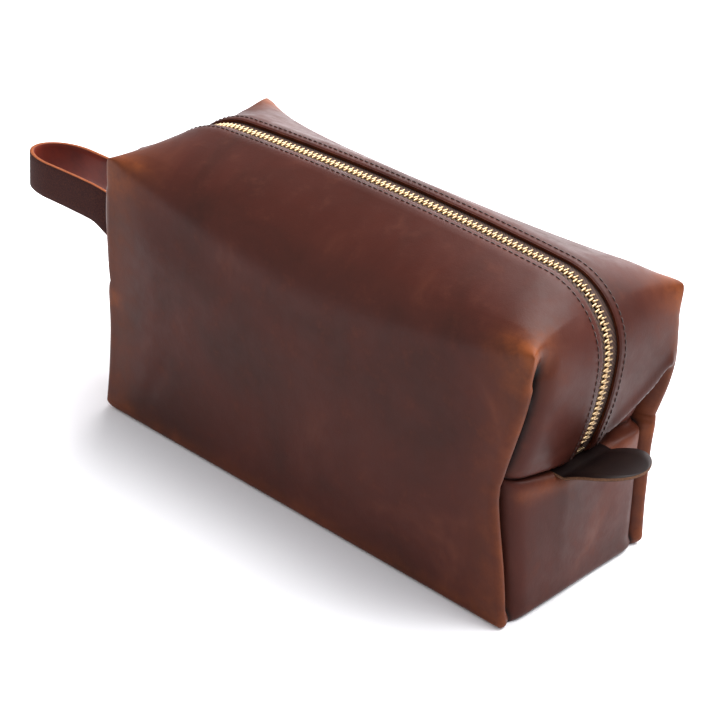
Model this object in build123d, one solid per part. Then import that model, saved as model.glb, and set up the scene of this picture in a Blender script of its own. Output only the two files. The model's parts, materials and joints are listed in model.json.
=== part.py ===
from build123d import *
import os
from math import asin, atan2, cos, degrees, dist, exp, hypot, radians, sin, sqrt

# Shaving kit bag (boxed wash bag) in one-piece leather, closed by a metal zip.
# Millimetres. Origin: centre of the bottom, on the surface it stands on.
# +X runs along the bag to the end with the grab tab, -X to the end with the
# handle, -Y is the front, +Z is up. "Band" is the flat strip that carries the
# zip over the top and down both ends. "Rim" is the edge of a long side panel.

# --- leather body -----------------------------------------------------------
LENGTH = 254.0              # between the corner seams
WIDTH = 103.4               # between the long side panels
EAR_HEIGHT = 135.5          # four pointed top corners
CROWN_HEIGHT = 152.4        # top of the zip band at mid length
SHOULDER_HEIGHT = 112.0     # where a side panel starts to round over, mid length
SHOULDER_RISE = 1.5         # how soon that line climbs to the ears (power)
LEATHER = 2.0               # leather thickness
BAND_HALF = 12.5            # half width of the flat zip band
FOOT_RADIUS = 5.0           # bottom long and end edges
GABLE_SHARE = 0.6           # part of the drop to the rim that is straight slope
GABLE_POWER = 6             # how late the shoulder rounds over
GROOVE_DEPTH = 3.5          # valley beside each corner seam
GROOVE_INSET = 5.5          # from the side panel's face to the valley
GROOVE_WIDTH = 2.4
GROOVE_FADE_FOOT = 12.0     # valley deepens over this height above the bottom
GROOVE_FADE_EAR = 18.0      # and runs out over this height below the ears

# --- zip path ---------------------------------------------------------------
SEAM_HEIGHT_TAB = 63.0      # end seams, at the middle of each end
SEAM_HEIGHT_HANDLE = 66.0
SEAM_RIM_RISE = 4.7         # the seams climb this much towards the rims
TAB_END_BULGE = 2.0         # band stands this far past the corner seams, tab end
TAB_END_RADIUS = 144.0      # band between end seam and corner, tab end
CORNER_RADIUS = 35.0        # band over the corner, tab end
CROWN_FALL = 3.1            # band sinks this much from mid length to the corner
TURN_RADIUS = 47.0          # band from end seam to top, handle end: one arc
HANDLE_END_BULGE = 10.3     # that arc stands this far past the corner seams
SEAM_PINCH_TAB_FRONT = 12.0     # how far each rim is drawn in beside the end seam
SEAM_PINCH_TAB_BACK = 3.0
SEAM_PINCH_HANDLE_FRONT = 3.0
SEAM_PINCH_HANDLE_BACK = 8.0
PINCH_REACH = 40.0          # height over which the pinch dies away
LIP_REACH = 4.2             # lower flap stands out this far beyond the seam
LIP_DROP = 7.0              # and turns down within this height
LIP_BELLY_REACH = 0.72      # shares of reach and drop half way round the turn
LIP_BELLY_DROP = 0.28
SLOT_HALF = 6.0             # half width of the gap that shows the zip

# --- zip --------------------------------------------------------------------
TAPE_THICK = 0.7
TAPE_GAP = 0.2              # under the leather
TAPE_EDGE = 1.6             # inner edge of each tape, from the middle
TAPE_OUTER = 12.3
TOOTH_PITCH = 2.8           # along one row
TOOTH_THICK = 1.1
TOOTH_HEIGHT = 2.6
TOOTH_HEAD = 0.9            # past the middle, into the other row
TOOTH_HEEL = 2.9            # outer end of the jaws
TAPE_CLEAR = 0.06           # jaws to tape
STOP_LENGTH = 2.4
TAIL_LENGTH = 12.5          # tape past the top stops, down to the handle seam
END_STOP_INSET = 4.0        # bottom stop to the tab end's seam
TAPE_INSET = 1.5            # tape ends to the end seams
STOP_HALF = 2.7             # outer side of the stops
STOP_LIFT = 0.65            # stops above and below the tape

# --- slider and puller ------------------------------------------------------
SLIDER_LENGTH = 11.0
SLIDER_HALF_FRONT = 4.5
SLIDER_HALF_REAR = 3.9
PLATE_THICK = 1.0
CHANNEL_ABOVE = 1.75        # tape middle to the upper plate
CHANNEL_BELOW = 2.05        # tape middle to the lower plate
FLANGE_THICK = 0.9
FLANGE_REACH_ABOVE = 0.95
FLANGE_REACH_BELOW = 0.95
DIAMOND_HALF = 1.1
DIAMOND_LENGTH = 2.6
DIAMOND_INSET = 0.3         # from the slider's front
CROWN_LENGTH = 8.0
CROWN_RISE = 3.6
CROWN_HALF = 1.1
CROWN_BAR = 1.2
PIN_RADIUS = 0.75
PIN_CLEAR = 0.2             # pin to the crown's bar, and arms to the crown
PULLER_LENGTH = 22.0
PULLER_HALF = 3.6
PULLER_THICK = 1.4
PULLER_HOLE_RADIUS = 1.5
PULLER_ARM = 5.0            # eye to plate, past the crown's corner
ARM_THICK = 1.2
EYE_WALL = 0.35             # round the pin
PULLER_REST = 1.5           # degrees above level: it lies on the handle

# --- handle and tab ---------------------------------------------------------
STRAP_WIDTH = 19.0
STRAP_THICK = 2.2
STRAP_GAP = 1.0             # between the two sewn ends
STRAP_OUT = 115.5           # hinge line to the end of the loop
STRAP_SPREAD = 14.4         # half the distance between the two strands
STRAP_CLIMB = 16.0          # how high the strands climb above the seam
STRAP_SAG = 2.0             # how far the loop's end hangs below that
STRAP_TWIST = 85.0          # degrees each strand turns, from flat to on edge
TAB_WIDTH = 35.0
TAB_OUT = 28.2              # hinge line to the tab's tip
TAB_THICK = 2.6
TAB_CLIMB = 32.0            # degrees at the root
TAB_LEVEL = 4.0             # degrees at the tip
TONGUE_DEPTH = 11.0         # sewn-in root, inside the seam
TONGUE_CLEAR = 0.05         # root to the seam's two layers
HINGE_OUT = 5.2             # seam to the line where strap and tab flex
HINGE_GAP = 0.3             # fixed root to moving leather
ALLOWANCE = 9.0             # seam allowance inside each end
ALLOWANCE_HALF = 34.0
ALLOWANCE_START = 2.6       # from the seam's outer line to the layers inside

# --- threads ----------------------------------------------------------------
THREAD = 0.6
STITCH_LENGTH = 2.6
STITCH_PITCH = 3.2
STITCH_ROW = 9.5            # topstitch rows, from the middle of the zip
STITCH_LIFT = 0.1           # thread above the leather
THREAD_HEIGHT = 0.42

HALF_L = LENGTH / 2
HALF_W = WIDTH / 2
VALLEY = HALF_W - GROOVE_INSET
CORNER_LEVEL = CROWN_HEIGHT - CORNER_RADIUS - CROWN_FALL
TURN_X = TURN_RADIUS - HALF_L - HANDLE_END_BULGE
TAPE_DEPTH = LEATHER + TAPE_GAP + TAPE_THICK / 2


# --- the zip path: arcs in the middle plane, handle end to tab end ------------
class Arc:
    """An arc in the XZ plane, from start to end; angles in degrees, falling."""

    def __init__(self, x, z, radius, start, end):
        self.x, self.z, self.radius = x, z, radius
        self.start, self.end = start, end
        self.length = radius * radians(start - end)

    def point(self, angle, lift=0.0):
        reach = self.radius + lift
        return (self.x + reach * cos(radians(angle)), self.z + reach * sin(radians(angle)))

    def between(self, start, end, count):
        step = (end - start) / (count - 1)
        return [self.point(start + i * step) for i in range(count)]


def zip_path():
    """Four tangent arcs: turn at the handle end, top, corner, face of the tab end."""
    corner_x = HALF_L + TAB_END_BULGE - CORNER_RADIUS
    drop = CROWN_HEIGHT - CORNER_RADIUS - CORNER_LEVEL
    crown_radius = CORNER_RADIUS + (corner_x ** 2 + drop ** 2) / (2 * drop)
    crown_z = CROWN_HEIGHT - crown_radius
    turn_z = crown_z + sqrt((crown_radius - TURN_RADIUS) ** 2 - TURN_X ** 2)
    turn_end = degrees(atan2(turn_z - crown_z, TURN_X))
    corner_start = degrees(atan2(CORNER_LEVEL - crown_z, corner_x))
    turn_start = 180 + degrees(asin((turn_z - SEAM_HEIGHT_HANDLE) / TURN_RADIUS))
    face_end = -degrees(asin((CORNER_LEVEL - SEAM_HEIGHT_TAB) / TAB_END_RADIUS))
    face_x = HALF_L + TAB_END_BULGE - TAB_END_RADIUS
    return [
        Arc(TURN_X, turn_z, TURN_RADIUS, turn_start, turn_end),
        Arc(0.0, crown_z, crown_radius, turn_end, corner_start),
        Arc(corner_x, CORNER_LEVEL, CORNER_RADIUS, corner_start, 0.0),
        Arc(face_x, CORNER_LEVEL, TAB_END_RADIUS, 0.0, face_end),
    ]


PATH = zip_path()
TURN, TOP, CORNER, FACE = PATH
PATH_LENGTH = sum(arc.length for arc in PATH)
SEAM_TAB = FACE.point(FACE.end)
SEAM_HANDLE = TURN.point(TURN.start)
TURN_MID = 135.0                # where the end panels' and the top's splines meet
CORNER_MID = 45.0


def along(distance, lift=0.0):
    """Point on the path and its outward direction, at a distance from the handle seam."""
    for arc in PATH:
        if distance <= arc.length or arc is FACE:
            angle = arc.start - degrees(distance / arc.radius)
            return arc.point(angle, lift), angle
        distance -= arc.length


# --- the leather's outline in planes across the bag ---------------------------
def pinch(side, front, height):
    """How far the rim of an end is drawn in beside its seam."""
    deepest = {
        (1, True): SEAM_PINCH_TAB_FRONT,
        (1, False): SEAM_PINCH_TAB_BACK,
        (-1, True): SEAM_PINCH_HANDLE_FRONT,
        (-1, False): SEAM_PINCH_HANDLE_BACK,
    }[side, front]
    seam = SEAM_HEIGHT_TAB if side > 0 else SEAM_HEIGHT_HANDLE
    return deepest * exp(-(((height - seam - SEAM_RIM_RISE) / PINCH_REACH) ** 2))


def rim_share(y):
    """0 on the zip band, 1 on the side panels: a slope, then a rounded shoulder."""
    reach = max(0.0, (abs(y) - BAND_HALF) / (HALF_W - BAND_HALF))
    rounding = 1 - sqrt(max(0.0, 1 - reach ** GABLE_POWER))
    return GABLE_SHARE * reach + (1 - GABLE_SHARE) * rounding


def groove(y, height):
    """Valley of the corner seams, fading at the foot and at the ear."""
    across = (VALLEY - abs(y)) / GROOVE_WIDTH
    from_foot = min(1.0, max(0.0, height / GROOVE_FADE_FOOT))
    from_ear = min(1.0, max(0.0, (EAR_HEIGHT - height) / GROOVE_FADE_EAR))
    return GROOVE_DEPTH * exp(-across ** 2) * from_foot * from_ear


def mix(a, b, share):
    return a + (b - a) * share


def lower_panel(side, y, seam):
    """Top of the foot's rounding up to the end seam, as (x, z) points for one end."""
    share = rim_share(y)
    seam_x, top = side * seam[0], seam[1]
    reach = mix(LIP_REACH, LIP_REACH / 2, share)
    turn = top - LIP_DROP
    points = []
    for step in (0.0, 1 / 3, 2 / 3, 1.0):
        level = mix(FOOT_RADIUS, turn, step)
        flat = mix(HALF_L, seam_x + groove(y, level) + reach, step)
        rim = HALF_L - pinch(side, y < 0, level)
        points.append((mix(flat, rim, share) - groove(y, level), level))
    points.append((seam_x + LIP_BELLY_REACH * reach, top - LIP_BELLY_DROP * LIP_DROP))
    points.append((seam_x, top))
    return [(side * x, z) for x, z in points]


def upper_panel(side, y):
    """End seam to the middle of the corner above it, as (x, z) points."""
    share = rim_share(y)
    front = y < 0
    rise = SEAM_RIM_RISE * (y / HALF_W) ** 2
    if side > 0:
        band = FACE.between(FACE.end, FACE.start, 7) + CORNER.between(CORNER.end, CORNER_MID, 8)[1:]
    else:
        band = TURN.between(TURN.start, TURN_MID, 14)
    low, high = band[0][1], band[-1][1]
    points = []
    for x, z in band:
        up = (z - low) / (high - low)
        rim_z = mix(low + SEAM_RIM_RISE, EAR_HEIGHT, up)
        rim_x = HALF_L - pinch(side, front, rim_z) - LIP_REACH / 2 * (1 - up) ** 6
        level = mix(z + rise * (1 - up), rim_z, share)
        points.append((side * (mix(abs(x), rim_x, share) - groove(y, level)), level))
    return points


def top_panel(y):
    """Corner to corner over the top, tab end first."""
    share = rim_share(y)
    right = CORNER.between(CORNER_MID, CORNER.start, 8)[:-1]
    left = TURN.between(TURN.end, TURN_MID, 8)[1:]
    band = right + TOP.between(TOP.end, TOP.start, 21) + left
    tab_x, handle_x = right[0][0], -left[-1][0]
    points = []
    for x, z in band:
        out = abs(x) / (tab_x if x > 0 else handle_x)
        rim_x = HALF_L * out * (1 if x > 0 else -1)
        rim_z = mix(SHOULDER_HEIGHT, EAR_HEIGHT, out ** SHOULDER_RISE)
        points.append((mix(x, rim_x, share), mix(z, rim_z, share)))
    return points


def outline(y):
    """Closed outline at y: eight runs of points, bottom first, then round by the tab end."""
    right_top, left_top = upper_panel(1, y), upper_panel(-1, y)
    right = lower_panel(1, y, right_top[0])
    left = lower_panel(-1, y, left_top[0])
    right_foot = [(HALF_L - FOOT_RADIUS, 0.0), (right[0][0], 0.0), right[0]]
    left_foot = [(FOOT_RADIUS - HALF_L, 0.0), (left[0][0], 0.0), left[0]]
    top = [right_top[-1]] + top_panel(y)[1:-1] + [left_top[-1]]
    bottom = [left_foot[0], right_foot[0]]
    return [bottom, right_foot, right, right_top, top, left_top[::-1], left[::-1], left_foot[::-1]]


def clear_of_ends(run, room):
    """Numbers of a run's points, without those that crowd its ends; a foot keeps all three."""
    if len(run) == 3:
        return [0, 1, 2]
    last = len(run) - 1
    inner = [i for i in range(1, last) if min(dist(run[i], run[0]), dist(run[i], run[last])) > room]
    return [0, *inner, last]


def inset(runs, depth):
    """The same runs moved inwards by the leather's thickness, square to the outline."""
    loop = [point for run in runs for point in run[:-1]]
    count = len(loop)
    moved = []
    for i, (x, z) in enumerate(loop):
        before, after = loop[i - 1], loop[(i + 1) % count]
        ax, az = x - before[0], z - before[1]
        bx, bz = after[0] - x, after[1] - z
        a, b = hypot(ax, az), hypot(bx, bz)
        nx, nz = -az / a - bz / b, ax / a + bx / b
        reach = hypot(nx, nz)
        scale = depth * min(1.5, 2 / reach) / reach
        moved.append((x + nx * scale, z + nz * scale))
    result, start = [], 0
    for run in runs:
        result.append([moved[(start + i) % count] for i in clear_of_ends(run, 2 * depth)])
        start += len(run) - 1
    return result


def section(runs, y):
    """A closed wire in the plane at y: straight bottom, rounded feet, splines for the rest."""
    edges = []
    for run in runs:
        points = [Vector(x, y, z) for x, z in run]
        if len(points) == 2:
            edges.append(Edge.make_line(*points))
        elif len(points) == 3:
            edges.append(Edge.make_bezier(*points))
        else:
            edges.append(Edge.make_spline(points))
    return Wire(edges)


SECTIONS = [
    BAND_HALF, mix(BAND_HALF, VALLEY, 0.4), mix(BAND_HALF, VALLEY, 0.72), VALLEY - 1.3 * GROOVE_WIDTH,
    VALLEY, VALLEY + 1.1 * GROOVE_WIDTH, mix(VALLEY, HALF_W, 0.8), HALF_W,
]


def half_shell(sign, depth):
    """Loft from the zip band out to one side panel."""
    scale = (HALF_W - depth) / HALF_W
    wires = []
    for y in SECTIONS:
        runs = outline(sign * y)
        if depth:
            runs = inset(runs, depth)
        place = y if y == BAND_HALF else y * scale
        wires.append(section(runs, sign * place))
    return Solid.make_loft(wires, ruled=True)


def band_shell(depth):
    runs = outline(BAND_HALF)
    if depth:
        runs = inset(runs, depth)
    face = Face(section(runs, -BAND_HALF))
    return Solid.extrude(face, Vector(0, 2 * BAND_HALF, 0))


def moved(shape, origin, x_dir, z_dir):
    plane = Plane(origin=origin, x_dir=x_dir, z_dir=z_dir)
    return shape.moved(Location(plane))


def block(x0, x1, y0, y1, z0, z1):
    return Solid.make_box(x1 - x0, y1 - y0, z1 - z0).moved(Location((x0, y0, z0)))


def ribbon(low, high, y0, y1, begin=0.0, finish=PATH_LENGTH):
    """Strip that follows the zip path, between two lifts and two distances."""
    pieces, distance = [], 0.0
    for arc in PATH:
        first = max(begin, distance) - distance
        last = min(finish, distance + arc.length) - distance
        distance += arc.length
        if last > first:
            angles = [arc.start - degrees(reach / arc.radius) for reach in (first, last)]
            pieces.append((arc, *angles))
    over, under = [], []
    for arc, start, end in pieces:
        for lift, edges in ((high, over), (low, under)):
            ends = [arc.point(angle, lift) for angle in (start, (start + end) / 2, end)]
            edges.append(Edge.make_three_point_arc(*[Vector(x, y0, z) for x, z in ends]))
    closing = [Edge.make_line(over[0] @ 0, under[0] @ 0), Edge.make_line(over[-1] @ 1, under[-1] @ 1)]
    face = Face(Wire(over + under + closing))
    return Solid.extrude(face, Vector(0, y1 - y0, 0))


def seam_slit(side, half_width, thick):
    """Room for a sewn-in tongue, through the seam and over the lower flap's lip."""
    x, z = SEAM_TAB if side > 0 else SEAM_HANDLE
    inner = abs(x) - TONGUE_DEPTH - 1
    outer = abs(x) + HINGE_OUT
    x0, x1 = (inner, outer) if side > 0 else (-outer, -inner)
    half = thick / 2 + TONGUE_CLEAR
    wide = half_width + TONGUE_CLEAR
    return block(x0, x1, -wide, wide, z - half, z + half)


def allowance(side, thick):
    """The two turned-in layers inside an end seam, as one block before it is slit."""
    x, z = SEAM_TAB if side > 0 else SEAM_HANDLE
    outer = abs(x) - ALLOWANCE_START
    inner = outer - ALLOWANCE
    x0, x1 = (inner, outer) if side > 0 else (-outer, -inner)
    half = thick / 2 + LEATHER
    return block(x0, x1, -ALLOWANCE_HALF, ALLOWANCE_HALF, z - half, z + half)


def leather_body():
    """Shell with the zip's gap, turned-in end seams and their slits."""
    outer = half_shell(1, 0.0).fuse(band_shell(0.0), half_shell(-1, 0.0))
    inner = half_shell(1, LEATHER).fuse(band_shell(LEATHER), half_shell(-1, LEATHER))
    inner = inner.cut(allowance(1, TAB_THICK), allowance(-1, STRAP_THICK))
    strap_half = STRAP_WIDTH + STRAP_GAP / 2
    gap = ribbon(-LEATHER - 1.0, 3.0, -SLOT_HALF, SLOT_HALF)
    slits = seam_slit(1, TAB_WIDTH / 2, TAB_THICK), seam_slit(-1, strap_half, STRAP_THICK)
    return outer.cut(inner).cut(gap, *slits)


# --- zip ------------------------------------------------------------------------
def zip_tape(sign):
    inner, outer = sorted((sign * TAPE_EDGE, sign * TAPE_OUTER))
    low, high = -TAPE_DEPTH - TAPE_THICK / 2, -TAPE_DEPTH + TAPE_THICK / 2
    return ribbon(low, high, inner, outer, TAPE_INSET, PATH_LENGTH - TAPE_INSET)


def on_path(shape, distance, lift):
    """Place a shape made about the origin: local X along the path, local Z outwards."""
    (x, z), angle = along(distance, lift)
    out = Vector(cos(radians(angle)), 0, sin(radians(angle)))
    onward = Vector(sin(radians(angle)), 0, -cos(radians(angle)))
    return moved(shape, Vector(x, 0, z), onward, out)


SLIDER_REST = TAIL_LENGTH + STOP_LENGTH + 0.5 + SLIDER_LENGTH / 2
DIAMOND_END = SLIDER_REST - SLIDER_LENGTH / 2 + DIAMOND_INSET + DIAMOND_LENGTH
FIRST_TOOTH = DIAMOND_END + 0.3 + TOOTH_THICK / 2
LAST_TOOTH = PATH_LENGTH - END_STOP_INSET - STOP_LENGTH


def tooth(sign):
    """Jaws round the tape's edge and a head that reaches past the middle."""
    half_h = TOOTH_HEIGHT / 2
    slot = TAPE_THICK / 2 + TAPE_CLEAR
    inner = TAPE_EDGE - TAPE_CLEAR
    outline_yz = [
        (-TOOTH_HEAD, -half_h), (TOOTH_HEEL, -half_h), (TOOTH_HEEL, -slot), (inner, -slot),
        (inner, slot), (TOOTH_HEEL, slot), (TOOTH_HEEL, half_h), (-TOOTH_HEAD, half_h),
    ]
    points = [Vector(-TOOTH_THICK / 2, sign * y, z) for y, z in outline_yz]
    face = Face(Wire.make_polygon(points, close=True))
    return Solid.extrude(face, Vector(TOOTH_THICK, 0, 0))


def zip_teeth(sign):
    """One row; the back row sits half a pitch on, so the heads interlock."""
    start = FIRST_TOOTH + (TOOTH_PITCH / 2 if sign > 0 else 0.0)
    count = int((LAST_TOOTH - start) / TOOTH_PITCH)
    shape = tooth(sign)
    return Compound([on_path(shape, start + i * TOOTH_PITCH, -TAPE_DEPTH) for i in range(count)])


def stop(half_inner, half_outer):
    """Crimped stop on one tape's edge, +Y side."""
    half = TAPE_THICK / 2 + STOP_LIFT
    slot = TAPE_THICK / 2 + TAPE_CLEAR
    body = block(-STOP_LENGTH / 2, STOP_LENGTH / 2, half_inner, half_outer, -half, half)
    return body.cut(block(-STOP_LENGTH, STOP_LENGTH, TAPE_EDGE - TAPE_CLEAR, half_outer + 1, -slot, slot))


def zip_top_stops():
    place = TAIL_LENGTH + STOP_LENGTH / 2
    right = stop(TAPE_EDGE - 0.7, STOP_HALF)
    left = right.mirror(Plane.XZ)
    return Compound([on_path(shape, place, -TAPE_DEPTH) for shape in (right, left)])


def zip_bottom_stop():
    """One staple across both tapes at the tab end."""
    half = TAPE_THICK / 2 + STOP_LIFT
    slot = TAPE_THICK / 2 + TAPE_CLEAR
    body = block(-STOP_LENGTH / 2, STOP_LENGTH / 2, -STOP_HALF, STOP_HALF, -half, half)
    reach = STOP_HALF + 1
    edge = TAPE_EDGE - TAPE_CLEAR
    body = body.cut(
        block(-STOP_LENGTH, STOP_LENGTH, edge, reach, -slot, slot),
        block(-STOP_LENGTH, STOP_LENGTH, -reach, -edge, -slot, slot),
    )
    return on_path(body, PATH_LENGTH - END_STOP_INSET, -TAPE_DEPTH)


def plate(z0, z1, narrow=0.0):
    """Slider plate outline, front at -X, with the sides tapering to the rear."""
    half = SLIDER_LENGTH / 2
    front, rear = SLIDER_HALF_FRONT - narrow, SLIDER_HALF_REAR - narrow
    corners = [(-half, -front), (half, -rear), (half, rear), (-half, front)]
    face = Face(Wire.make_polygon([Vector(x, y, z0) for x, y in corners], close=True))
    return Solid.extrude(face, Vector(0, 0, z1 - z0))


def slider_body():
    """Two plates with side flanges, joined by the diamond at the front."""
    top, bottom = CHANNEL_ABOVE + PLATE_THICK, -CHANNEL_BELOW - PLATE_THICK
    upper = plate(CHANNEL_ABOVE - FLANGE_REACH_ABOVE, top)
    upper = upper.cut(plate(CHANNEL_ABOVE - FLANGE_REACH_ABOVE - 1, CHANNEL_ABOVE, FLANGE_THICK))
    lower = plate(bottom, -CHANNEL_BELOW + FLANGE_REACH_BELOW)
    lower = lower.cut(plate(-CHANNEL_BELOW, -CHANNEL_BELOW + FLANGE_REACH_BELOW + 1, FLANGE_THICK))
    front = -SLIDER_LENGTH / 2 + DIAMOND_INSET
    diamond = block(front, front + DIAMOND_LENGTH, -DIAMOND_HALF, DIAMOND_HALF, bottom + 0.2, top - 0.2)
    return on_path(upper.fuse(diamond, lower), SLIDER_REST, -TAPE_DEPTH)


CROWN_FOOT = CHANNEL_ABOVE + PLATE_THICK
PIN_LIFT = CROWN_FOOT + (CROWN_RISE - CROWN_BAR) / 2


def slider_crown():
    """Arch that holds the puller's eye."""
    half = CROWN_LENGTH / 2
    arch = block(-half, half, -CROWN_HALF, CROWN_HALF, CROWN_FOOT, CROWN_FOOT + CROWN_RISE)
    inner = half - CROWN_BAR
    arch = arch.cut(block(-inner, inner, -5, 5, CROWN_FOOT - 1, CROWN_FOOT + CROWN_RISE - CROWN_BAR))
    return on_path(arch, SLIDER_REST, -TAPE_DEPTH)


def pull_pin():
    """Centre of the puller's eye, as (x, z)."""
    return along(SLIDER_REST, PIN_LIFT - TAPE_DEPTH)[0]


def zip_puller():
    """Eye pin, two arms and a plate with a hole, lying towards the handle's loop."""
    inner = CROWN_HALF + PIN_CLEAR
    outer = inner + ARM_THICK
    pin = Cylinder(PIN_RADIUS, 2 * outer, rotation=(90, 0, 0))
    half_t = PULLER_THICK / 2
    solid = pin.solid()
    for sign in (-1, 1):
        y0, y1 = sorted((sign * inner, sign * outer))
        bar = block(0, PULLER_ARM + 0.5, y0, y1, -half_t, half_t)
        eye = Cylinder(PIN_RADIUS + EYE_WALL, ARM_THICK, rotation=(90, 0, 0)).solid()
        eye = eye.moved(Location((0, (y0 + y1) / 2, 0)))
        solid = solid.fuse(bar, eye)
    end = PULLER_LENGTH - PULLER_HALF
    body = block(PULLER_ARM, end, -PULLER_HALF, PULLER_HALF, -half_t, half_t)
    tip = Cylinder(PULLER_HALF, PULLER_THICK).solid().moved(Location((end, 0, 0)))
    hole = Cylinder(PULLER_HOLE_RADIUS, 3 * PULLER_THICK).solid().moved(Location((end, 0, 0)))
    solid = solid.fuse(body, tip).cut(hole)
    x, z = pull_pin()
    tilt = radians(PULLER_REST)
    onward, upward = Vector(-cos(tilt), 0, sin(tilt)), Vector(sin(tilt), 0, cos(tilt))
    return moved(solid, Vector(x, 0, z), onward, upward)


# --- handle and tab ----------------------------------------------------------------
HINGE_HANDLE = (SEAM_HANDLE[0] - HINGE_OUT, SEAM_HANDLE[1])
HINGE_TAB = (SEAM_TAB[0] + HINGE_OUT, SEAM_TAB[1])


def smooth(t):
    t = min(1.0, max(0.0, t))
    return t * t * (3 - 2 * t)


ROOT_SPREAD = (STRAP_WIDTH + STRAP_GAP) / 2
LOOP_START = 0.78               # share of the strap's reach where the strands turn in
TWIST_END = 0.48                # share where they stand on edge
STRAIGHT_STATIONS = 0.72        # share of the stations before the loop's rounded end


def strap_station(turn):
    """Centre and twist at turn 0 (front root) .. 1 (loop's end) .. 2 (back root)."""
    side = -1 if turn <= 1 else 1
    t = turn if turn <= 1 else 2 - turn
    if t < STRAIGHT_STATIONS:
        out = LOOP_START * t / STRAIGHT_STATIONS
        spread = mix(ROOT_SPREAD, STRAP_SPREAD, smooth(out / TWIST_END))
    else:
        bend = radians(90 * (t - STRAIGHT_STATIONS) / (1 - STRAIGHT_STATIONS))
        out = LOOP_START + (1 - LOOP_START) * sin(bend)
        spread = STRAP_SPREAD * cos(bend)
    droop = max(0.0, (out - TWIST_END) / (1 - TWIST_END))
    z = HINGE_HANDLE[1] + STRAP_CLIMB * smooth(2 * out) - STRAP_SAG * droop ** 2
    twist = STRAP_TWIST * smooth(out / TWIST_END) + (90 - STRAP_TWIST) * droop
    across = cos(radians(twist)) * -side
    upward = sin(radians(twist))
    return Vector(HINGE_HANDLE[0] - STRAP_OUT * out, side * spread, z), Vector(0, across, upward)


def handle_strap():
    """Leather strip, flat at both roots and on edge round the loop."""
    steps = 44
    stations = [strap_station(2 * i / steps) for i in range(steps + 1)]
    wires = []
    for i, (centre, across) in enumerate(stations):
        before = stations[max(0, i - 1)][0]
        after = stations[min(steps, i + 1)][0]
        onward = (after - before).normalized()
        if i in (0, steps):
            onward = Vector(-1 if i == 0 else 1, 0, 0)
        wide = (across - onward * across.dot(onward)).normalized() * (STRAP_WIDTH / 2)
        thick = onward.cross(wide).normalized() * (STRAP_THICK / 2)
        over, under = centre + thick, centre - thick
        corners = [over + wide, over - wide, under - wide, under + wide]
        wires.append(Wire.make_polygon(corners, close=True))
    strip = Solid.make_loft(wires, ruled=True)
    roots = (-ROOT_SPREAD, ROOT_SPREAD)
    return strip.fuse(*[rounded_root(HINGE_HANDLE, STRAP_THICK, STRAP_WIDTH, y) for y in roots])


def rounded_root(hinge, thick, width, y):
    """Half-round edge along a flex line."""
    roller = Cylinder(thick / 2, width, rotation=(90, 0, 0)).solid()
    return roller.moved(Location((hinge[0], y, hinge[1])))


def tongue(side, hinge, thick, width, y):
    """Sewn-in root, from inside the seam to just short of the flex line."""
    outer = abs(hinge[0]) - thick / 2 - HINGE_GAP
    inner = abs(hinge[0]) - HINGE_OUT - TONGUE_DEPTH
    x0, x1 = (inner, outer) if side > 0 else (-outer, -inner)
    return block(x0, x1, y - width / 2, y + width / 2, hinge[1] - thick / 2, hinge[1] + thick / 2)


def end_tab():
    """Curved tab: rises out of the seam, levels off, round at the tip."""
    turn = radians(TAB_CLIMB - TAB_LEVEL)
    radius = TAB_OUT / (sin(radians(TAB_CLIMB)) - sin(radians(TAB_LEVEL)))
    hx, hz = HINGE_TAB
    cx, cz = hx + radius * sin(radians(TAB_CLIMB)), hz - radius * cos(radians(TAB_CLIMB))
    start = 90 + TAB_CLIMB
    arc = Arc(cx, cz, radius, start, start - degrees(turn))
    half_w, half_t = TAB_WIDTH / 2, TAB_THICK / 2
    edges = []
    for lift in (half_t, -half_t):
        ends = [arc.point(a, lift) for a in (arc.start, (arc.start + arc.end) / 2, arc.end)]
        edges.append(Edge.make_three_point_arc(*[Vector(x, -half_w, z) for x, z in ends]))
    closing = [Edge.make_line(edges[0] @ i, edges[1] @ i) for i in (0, 1)]
    sheet = Solid.extrude(Face(Wire(edges + closing)), Vector(0, TAB_WIDTH, 0))
    tip = hx + TAB_OUT - half_w
    plan = block(hx - 2 * half_t, tip, -half_w, half_w, 0, CROWN_HEIGHT)
    disc = Cylinder(half_w, 2 * CROWN_HEIGHT).solid().moved(Location((tip, 0, 0)))
    sheet = sheet.intersect(plan.fuse(disc))
    sheet = sheet.solid() if not isinstance(sheet, Solid) else sheet
    return sheet.fuse(rounded_root(HINGE_TAB, TAB_THICK, TAB_WIDTH, 0.0))


# --- threads --------------------------------------------------------------------------
def topstitch(sign):
    """Separate stitches along one edge of the zip's gap."""
    count = int((PATH_LENGTH - 2 * STITCH_PITCH) / STITCH_PITCH)
    start = (PATH_LENGTH - (count - 1) * STITCH_PITCH) / 2
    y = sign * STITCH_ROW
    half = THREAD / 2
    stitch = block(-STITCH_LENGTH / 2, STITCH_LENGTH / 2, y - half, y + half, 0, THREAD_HEIGHT)
    return Compound([on_path(stitch, start + i * STITCH_PITCH, STITCH_LIFT) for i in range(count)])


def seam_thread(side, thick):
    """Stitches on the upper layer inside an end seam."""
    x, z = SEAM_TAB if side > 0 else SEAM_HANDLE
    row = (abs(x) - ALLOWANCE_START - ALLOWANCE / 2) * side
    top = z + thick / 2 + LEATHER + STITCH_LIFT
    count = int(2 * ALLOWANCE_HALF / STITCH_PITCH) - 1
    start = -(count - 1) * STITCH_PITCH / 2
    half = THREAD / 2
    long = STITCH_LENGTH / 2
    stitch = block(row - half, row + half, -long, long, top, top + THREAD_HEIGHT)
    return Compound([stitch.moved(Location((0, start + i * STITCH_PITCH, 0))) for i in range(count)])


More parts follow.
